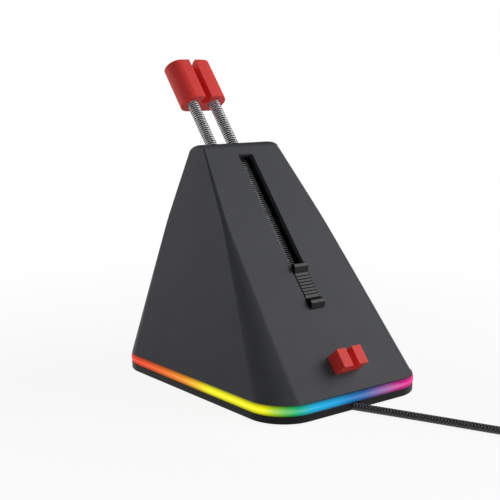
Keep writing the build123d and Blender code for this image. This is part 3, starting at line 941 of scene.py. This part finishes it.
@dataclass
class Base:
    """The lit strip, the tray under it and what is inside."""

    width: float = 90.0 * MM
    depth: float = 123.7 * MM
    corner: float = 17.6 * MM
    ring_low: float = 3.8 * MM
    ring_height: float = 4.7 * MM
    ring_edge: float = 0.2 * MM
    ring_bulge: float = 0.25 * MM
    ring_back: float = 2.75 * MM
    ring_sharp: float = 40.0
    bow_steps: int = 12
    corner_steps: int = 14
    tray_edge: float = 0.2 * MM
    screw_x: float = 35.5 * MM
    screw_y: float = 47.5 * MM
    screw_low: float = 0.6 * MM
    screw_seat: float = 1.7 * MM
    screw_length: float = 10.0 * MM
    screw_head: float = 2.5 * MM
    screw_shank: float = 1.3 * MM
    screw_cross: float = 2.6 * MM
    screw_cross_width: float = 0.7 * MM
    screw_cross_depth: float = 0.7 * MM

    def outline(self, inset: float, z: float) -> list[Point]:
        """Draw the base's rounded outline at a height.

        Args:
            inset: How far the outline is moved in, in metres.
            z: The height in metres.

        Returns:
            The outline's points, counter-clockwise seen from above.
        """
        half_x, half_y = self.width / 2 - inset, self.depth / 2 - inset
        radius = self.corner - inset
        points = []
        for quarter, (x, y) in enumerate(((1, 1), (-1, 1), (-1, -1), (1, -1))):
            for i in range(self.corner_steps + 1):
                angle = (quarter + i / self.corner_steps) * math.pi / 2
                across = x * (half_x - radius) + radius * math.cos(angle)
                points.append((across, y * (half_y - radius) + radius * math.sin(angle), z))
        return points

    def strip(self) -> None:
        """Sweep the bowed strip round the base and light it."""
        insets = []
        for i in range(self.bow_steps + 1):
            share = i / self.bow_steps
            bow = self.ring_edge - (self.ring_edge + self.ring_bulge) * math.sin(math.pi * share)
            insets.append((bow, self.ring_low + self.ring_height * share))
        insets += [(self.ring_back, self.ring_low + self.ring_height), (self.ring_back, self.ring_low)]
        strip = lofted("lit_strip", [self.outline(*pair) for pair in insets])
        smooth(strip, self.ring_sharp)
        middle = self.ring_low + self.ring_height / 2
        glow = LitDiffuser("rainbow_light", middle, self.ring_height / 2, RAINBOW)
        stand_for(strip, glow, "light_strip", "light_ring")

    def screws(self) -> None:
        """Make the four screws under the tray, with cross slots in their heads."""
        places = [(x * self.screw_x, y * self.screw_y, 0.0) for x in (-1, 1) for y in (-1, 1)]
        mesh = bpy.data.meshes.new("screw_places")
        mesh.from_pydata(places, [], [])
        tree = Tree("cross_screws", takes_geometry=True)
        low, seat = self.screw_low, self.screw_seat
        head = tree.post("Head", self.screw_head, low, seat)
        shank = tree.post("Shank", self.screw_shank, seat, seat + self.screw_length)
        long, thin, deep = self.screw_cross, self.screw_cross_width, 2 * self.screw_cross_depth
        slots = []
        for size in ((long, thin, deep), (thin, long, deep)):
            cube = tree.node("GeometryNodeMeshCube", {"Size": size}).outputs["Mesh"]
            slots.append(tree.moved(cube, (0.0, 0.0, low)))
        inputs = {"Mesh 1": head, "Mesh 2": slots}
        slotted = tree.node("GeometryNodeMeshBoolean", inputs, operation="DIFFERENCE")
        screw = tree.joined(slotted.outputs["Mesh"], shank)
        inputs = {"Points": tree.start.outputs["Geometry"], "Instance": screw}
        placed = tree.node("GeometryNodeInstanceOnPoints", inputs)
        screws = tree.grow("tray_screw_set", placed.outputs[0], add_piece("screw_places", mesh))
        smooth(screws)
        stand_for(screws, ZINC, "screw_steel", "tray_screws")

    def tray(self) -> None:
        """Round the tray's edges and dress it, its pad and its inner pieces."""
        tray = softened("base_tray", "tray_shell", self.tray_edge, segments=2)
        stand_for(tray, BLACK, "tray_plastic", "base_tray")
        paint("rubber_pad", RUBBER)
        paint("ballast_plate", BALLAST)
        paint("lamp_board", GREEN)
        paint("board_lamps", LAMP)
        paint("controller_chip", BLACK)
        paint("cable_header", BLACK)
        paint("cable_gland", RUBBER)
        paint("inner_lead", INSULATION)

    def build(self) -> None:
        """Make the strip, the tray and the screws."""
        self.strip()
        self.tray()
        self.screws()


@dataclass(frozen=True)
class Slope:
    """The housing's front slope, with places on it measured from the ridge."""

    ridge: Point = (0.0, 20.96 * MM, 110.4 * MM)
    up: Point = (0.0, 0.626363, 0.779532)
    inward: Point = (0.0, 0.779532, -0.626363)

    def at(self, x: float, along: float, deep: float) -> Vector:
        """Find a place across the slope, up it from the ridge and into the housing, in metres."""
        place = Vector(self.ridge) + Vector(self.up) * along + Vector(self.inward) * deep
        return place + Vector((x, 0, 0))

    def read(self, place: Vector) -> Pair:
        """Read how far up the slope and into the housing a place is, in metres."""
        away = place - Vector(self.ridge)
        return away.dot(Vector(self.up)), away.dot(Vector(self.inward))


@dataclass(frozen=True)
class RaisedEnd:
    """A raised end of the slider: a ramp, a flat crest and a ramp, in millimetres down the slope."""

    solid: Pair
    back: Pair
    front: Pair

    def holds(self, down: float) -> bool:
        """Tell whether a place belongs to this end of the solid."""
        return self.solid[0] - SLACK < down < self.solid[1] + SLACK

    def ramp(self, down: float) -> Pair:
        """Give the foot and the crest of the ramp that a place on the solid goes to."""
        return self.back if down < sum(self.solid) / 2 else self.front


@dataclass
class Slide:
    """The thumb slider and the carriage behind the slot.

    Places down the slope and heights off it are in millimetres, on the solid and as they are shown.
    """

    edge: float = 0.16 * MM
    ends: tuple[RaisedEnd, ...] = (
        RaisedEnd((66.9, 71.2), (66.9, 68.0), (71.5, 69.5)),
        RaisedEnd((84.5, 89.9), (84.5, 86.6), (89.9, 88.1)),
    )
    solid_rise: Pair = (1.1, 3.0)
    shown_rise: Pair = (0.65, 2.45)
    solid_ribs: tuple[float, ...] = (71.2, 72.8625, 82.8375, 84.5)
    shown_ribs: tuple[float, ...] = (71.5, 73.25, 82.58, 84.5)
    rib_count: int = 8
    solid_top: float = 0.65
    rib_top: float = 0.3
    groove_low: float = -0.35
    groove_share: float = 0.6
    slope: Slope = Slope()

    def settle(self, place: Vector) -> Vector:
        """Move a corner of the slider to where the ribs and the raised ends lie on the real one.

        Args:
            place: The corner on the solid, in metres.

        Returns:
            Its place on the piece, in metres.
        """
        along, deep = self.slope.read(place)
        down, out = -along / MM, -deep / MM
        first, last = self.solid_ribs[0], self.solid_ribs[-1]
        if out > self.solid_top + SLACK:
            end = next(end for end in self.ends if end.holds(down))
            down = np.interp(out, self.solid_rise, end.ramp(down))
            out = np.interp(out, self.solid_rise, self.shown_rise)
        elif out > 0 and first - SLACK < down < last + SLACK:
            pitch = (last - first) / self.rib_count
            groove = first + pitch * round((down - first) / pitch)
            on_top = out > self.solid_top - SLACK
            out = self.rib_top if on_top else self.groove_low
            away = (down - groove) * self.groove_share if on_top else 0.0
            down = np.interp(groove, self.solid_ribs, self.shown_ribs) + away
        return self.slope.at(place.x, -down * MM, -out * MM)

    def build(self) -> None:
        """Shape the slider's ribs and ends, and dress the carriage."""
        slider = softened("slider", "thumb_slider", self.edge, segments=2, shift=self.settle)
        stand_for(slider, GLOSSY, "slider_plastic", "slider", body=Body.CARRIAGE)
        paint("carriage", BLACK)
        paint("slide_leaves", STEEL)
        paint("slider_screw", ZINC)


@dataclass
class Arm:
    """The two springs and the red clip that they carry."""

    slope: Slope = Slope()
    pitch_x: float = 12.9 * MM
    deep: float = 12.0 * MM
    wire: float = 1.02 * MM
    outer: float = 5.6 * MM
    coil_pitch: float = 1.1 * MM
    low: float = -80.4 * MM
    high: float = 42.15 * MM
    bend_from: float = 1.0 * MM
    bend_to: float = 32.0 * MM
    steps: int = 24
    wire_sides: int = 10
    wire_sharp: float = 80.0
    clip_edge: float = 0.5 * MM

    def on_axis(self, x: float, along: float) -> Vector:
        """Find a place on a spring's axis, up the slope from the ridge, in metres."""
        return self.slope.at(x, along, self.deep)

    def spring(self, side: Side) -> None:
        """Wind one spring and lay it straight along its axis up the slope.

        Args:
            side: Which spring it is.
        """
        name, x = side.name.lower(), side.value * self.pitch_x / 2
        tree = Tree(name + "_coil")
        radius = tree.size("Coil radius", (self.outer - self.wire) / 2)
        rise = tree.size("Height", self.high - self.low - self.wire)
        turns = tree.size("Turns", (self.high - self.low - self.wire) / self.coil_pitch)
        wire = tree.size("Wire radius", self.wire / 2)
        helix = {"Start Radius": radius, "End Radius": radius, "Height": rise, "Rotations": turns}
        spiral = tree.node("GeometryNodeCurveSpiral", {"Resolution": self.steps, **helix})
        wound = tree.swept(spiral.outputs["Curve"], tree.ring(self.wire_sides, wire))
        place = tree.node("GeometryNodeInputPosition").outputs[0]
        flat = tree.node("ShaderNodeVectorMath", {0: place, 1: (1.0, 1.0, 0.0)}, operation="MULTIPLY")
        out = tree.node("ShaderNodeVectorMath", {0: flat.outputs[0]}, operation="LENGTH")
        # How far out on the wire each place lies, which the wire's finish turns into painted groove
        # shade
        crest = tree.math("DIVIDE", tree.math("SUBTRACT", out.outputs["Value"], radius), wire)
        spring = tree.grow(name + "_coil_spring", tree.keep(wound, "crest", crest))
        dress(spring, GROOVE_SHADED_WIRE)
        start = self.on_axis(x, self.low + self.wire / 2)
        turn = Vector((0, 0, 1)).rotation_difference(Vector(self.slope.up)).to_matrix().to_4x4()
        spring.data.transform(Matrix.Translation(start) @ turn)
        smooth(spring, self.wire_sharp)
        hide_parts(name + "_spring")
        self.on_axis(x, self.bend_from)
        self.on_axis(x, self.bend_to)
        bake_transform(spring)

    def build(self) -> None:
        """Wind both springs and round the clip's edges."""
        for side in Side:
            self.spring(side)
        clip = softened("upper_clip", "arm_cable_clip", self.clip_edge)
        stand_for(clip, RED, "clip_red", "upper_clip", body=Body.CLIP)


@dataclass
class Lead:
    """The woven lead, its put-away coil, its tie and its plug.

    The route, the tail, the exit and the coil are in millimetres.
    """

    diameter: float = 3.3 * MM
    sides: int = 20
    side_sharp: float = 60.0
    route: tuple[Point, ...] = (
        (-6.4, -49.5, 1.7),
        (2.7, -69.5, 1.7),
        (14.6, -97.1, 1.7),
        (26.7, -126.5, 1.7),
        (36.9, -148.0, 2.35),
    )
    tail: tuple[Point, ...] = ((91.2, -134.8, 5.7), (91.2, -120.8, 3.95))
    coil_middle: Pair = (61.7, -134.8)
    coil_radii: Point = (28.05, 11.55, 29.5)
    lower_z: float = 2.35
    upper_z: float = 5.65
    first_angle: float = 208.0
    lower_turns: float = 5.0
    upper_turns: float = 5.42
    turn_points: int = 16
    spline_order: int = 3
    spline_steps: int = 8
    length: float = 1.42
    exit: Point = (-1.16, -61.3, 1.7)
    grip_edge: float = 0.6 * MM
    ridge_count: int = 6
    ridge_first: Point = (91.2 * MM, -107.5 * MM, 7.8 * MM)
    ridge_step: Point = (0.0, 1.9 * MM, 0.0)
    ridge_size: Point = (9.0 * MM, 0.9 * MM, 0.8 * MM)
    shell_edge: float = 0.12 * MM
    contact_count: int = 4
    contact_first: Point = (87.7 * MM, -85.2 * MM, 3.95 * MM)
    contact_step: Point = (2.333 * MM, 0.0, 0.0)
    contact_size: Point = (1.0 * MM, 7.4 * MM, 0.2 * MM)
    strap_edge: float = 0.15 * MM

    def coil_points(self) -> list[Point]:
        """Wind the coil inwards on the floor and outwards on top of that layer.

        Returns:
            Points in millimetres, from the first turn to the tail.
        """
        points = []
        x, y = self.coil_middle
        lower = round(self.lower_turns * self.turn_points)
        upper = round(self.upper_turns * self.turn_points)
        for i in range(1, lower + upper):
            angle = math.radians(self.first_angle + 360 * i / self.turn_points)
            radius = float(np.interp(i, (0, lower, lower + upper), self.coil_radii))
            z = self.lower_z if i <= lower else self.upper_z
            points.append((x + radius * math.cos(angle), y + radius * math.sin(angle), z))
        return points

    def line(self) -> Piece:
        """Draw the lead's middle as one smooth spline.

        Returns:
            The curve, with no thickness.
        """
        curve = bpy.data.curves.new("lead_line", "CURVE")
        curve.dimensions = "3D"
        curve.resolution_u = self.spline_steps
        spline = curve.splines.new("NURBS")
        points = [*self.route, *self.coil_points(), *self.tail]
        spline.points.add(len(points) - 1)
        for point, place in zip(spline.points, points):
            point.co = (*(value * MM for value in place), 1.0)
        spline.order_u = self.spline_order
        spline.use_endpoint_u = True
        return add_piece("lead_line", curve)

    def grip(self) -> Piece:
        """Round the plug's grip and raise ridges for the fingers on it.

        Returns:
            The grip.
        """
        body = softened("plug_body", "plug_body_copy", self.grip_edge)
        tree = Tree("grip_ridges", takes_geometry=True)
        ridges = tree.row("Ridge", self.ridge_count, self.ridge_first, self.ridge_step, self.ridge_size)
        grip = tree.grow("plug_grip", tree.joined(tree.start.outputs["Geometry"], ridges), body)
        return stand_for(grip, BLACK, "plug_plastic", "plug_body")

    def mouth(self) -> list[Piece]:
        """Make the plug's shell, its insulator and the contacts on that.

        Returns:
            The three pieces.
        """
        shell = softened("plug_shell", "plug_mouth", self.shell_edge, segments=2)
        stand_for(shell, ZINC, "plug_metal", "plug_shell")
        tongue = softened("plug_tongue", "plug_insulator", self.shell_edge, segments=2)
        stand_for(tongue, WHITE, "plug_tongue", "plug_tongue")
        tree = Tree("contact_row")
        sizes = (self.contact_count, self.contact_first, self.contact_step, self.contact_size)
        contacts = tree.grow("plug_contacts", tree.row("Contact", *sizes))
        return [shell, tongue, stand_for(contacts, GOLD, "plug_metal")]

    def strap(self) -> Piece:
        """Round the coil's tie and weave it.

        Returns:
            The tie.
        """
        strap = softened("coil_tie", "coil_strap", self.strap_edge, segments=2)
        return stand_for(strap, STRAP, "tie_strap", "coil_tie")

    def build(self) -> None:
        """Make the lead with its tie and its plug."""
        line = self.line()
        path = [tuple(vertex.co) for vertex in modified(line).vertices]
        tree = Tree("lead_sleeve", takes_geometry=True)
        radius = tree.size("Radius", self.diameter / 2)
        sides = tree.size("Sides", self.sides)
        spot = tree.node("GeometryNodeSplineParameter").outputs
        lengthwise = tree.keep(tree.start.outputs["Geometry"], "along", spot["Length"])
        wound = tree.keep(tree.ring(sides, radius), "around", spot["Factor"])
        lead = tree.grow("woven_lead", tree.swept(lengthwise, wound), line)
        smooth(lead, self.side_sharp)
        stand_for(lead, SLEEVE, "lead_braid", "usb_lead", "lead_coil", "lead_tail")
        self.grip()
        self.mouth()
        self.strap()


def main() -> None:
    """Build the scene, piece by piece."""
    Studio().build()
    Lead().build()
    Housing().build()
    Base().build()
    Slide().build()
    Arm().build()


if __name__ == "__main__":
    main()
